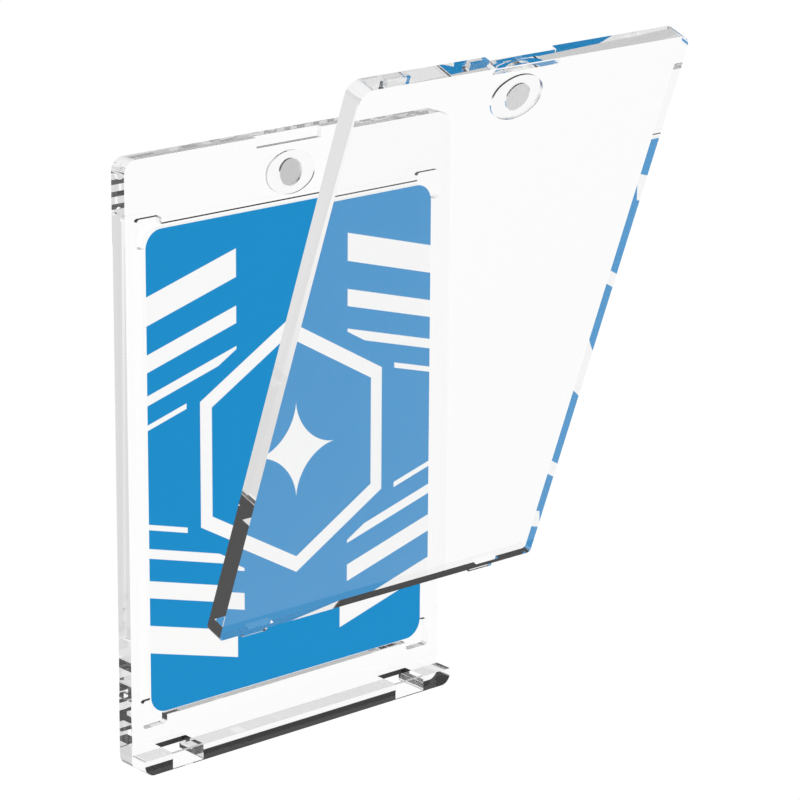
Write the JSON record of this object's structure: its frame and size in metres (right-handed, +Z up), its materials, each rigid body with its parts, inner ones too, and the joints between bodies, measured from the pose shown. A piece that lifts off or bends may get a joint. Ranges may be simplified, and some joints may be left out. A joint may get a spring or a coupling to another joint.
{
  "type": "trading card display case",
  "caption": "Two-part clear acrylic case that holds one trading card upright behind a magnetic cover with hooked tabs.",
  "frame": {"origin": "middle of the flat foot under the closed case, on the parting plane, which is the front face of the rear half", "axes": "+X to the right seen from the front, +Y to the back, +Z up; the front faces -Y"},
  "size_m": [0.0724, 0.066, 0.1353],
  "materials": {
    "base_shell": "clear, polished",
    "cover_shell": "clear, polished",
    "card": "satin printed card",
    "magnet": "satin nickel plating",
    "collar": "clear, polished"
  },
  "bodies": {
    "base": {"base_shell": "base_shell", "card": "card", "base_magnet": "magnet", "base_magnet_collar": "collar"},
    "cover": {"cover_shell": "cover_shell", "cover_magnet": "magnet", "cover_magnet_collar": "collar"}
  },
  "joints": [
    {"name": "cover_lift_off", "type": "hinge", "parent": "base", "child": "cover", "pos_m": [0, -0.09702, -0.04337], "axis": [1, 0, 0], "range_deg": [-20, 10]}
  ]
}
